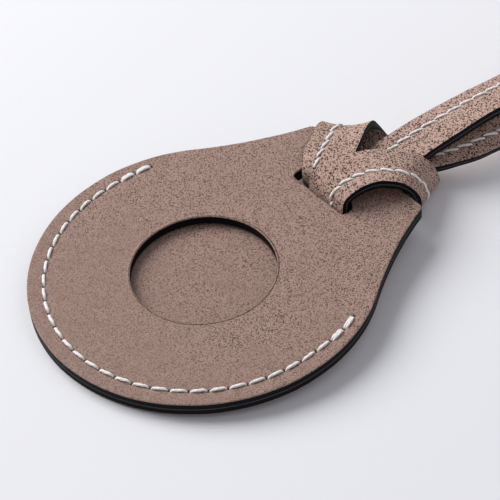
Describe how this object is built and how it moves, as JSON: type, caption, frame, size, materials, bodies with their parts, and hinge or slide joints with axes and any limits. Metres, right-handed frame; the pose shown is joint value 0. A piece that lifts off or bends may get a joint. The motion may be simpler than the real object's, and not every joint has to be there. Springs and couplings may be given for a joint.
{
  "type": "tracker tag holder",
  "caption": "Round sewn leather holder for a coin-shaped tracker tag, with a window, a slotted neck and a cow-hitched strap loop.",
  "frame": {"origin": "centre of the round body on the outer face of its rear panel", "axes": "+Y along the tag from the round body to the strap, +Z out of the front face with the window, +X to the right when the front face is seen with the strap upwards"},
  "size_m": [0.06, 0.1794, 0.0192],
  "materials": {
    "panel_leather": "matte taupe, fine dark pores, black painted cut edges",
    "panel_lining": "matte taupe, smooth, black painted cut edges",
    "strap_leather": "matte taupe, coarse dark pores, black painted cut edges",
    "thread": "off-white waxed thread"
  },
  "bodies": {
    "tag": {"front_panel_leather": "panel_leather", "rear_panel_leather": "panel_leather", "front_panel_lining": "panel_lining", "rear_panel_lining": "panel_lining", "seam_thread_front": "thread", "seam_thread_rear": "thread", "strap_hitch_face_ply": "strap_leather", "strap_hitch_lining_ply": "strap_leather", "strap_hitch_face_thread": "thread", "strap_hitch_lining_thread": "thread", "strap_upper_bend_face_ply": "strap_leather", "strap_upper_bend_lining_ply": "strap_leather", "strap_upper_bend_face_thread": "thread", "strap_upper_bend_lining_thread": "thread", "strap_lower_bend_face_ply": "strap_leather", "strap_lower_bend_lining_ply": "strap_leather", "strap_lower_bend_face_thread": "thread", "strap_lower_bend_lining_thread": "thread"},
    "loop": {"strap_loop_face_ply": "strap_leather", "strap_loop_lining_ply": "strap_leather", "strap_loop_face_thread": "thread", "strap_loop_lining_thread": "thread"}
  },
  "joints": [
    {"name": "strap_lift", "type": "hinge", "parent": "tag", "child": "loop", "pos_m": [0.004, 0.0565, 0.0016], "axis": [1, 0, 0], "range_deg": [-70, 80], "deforming": ["strap_upper_bend_face_ply", "strap_upper_bend_lining_ply", "strap_upper_bend_face_thread", "strap_upper_bend_lining_thread", "strap_lower_bend_face_ply", "strap_lower_bend_lining_ply", "strap_lower_bend_face_thread", "strap_lower_bend_lining_thread"]}
  ]
}
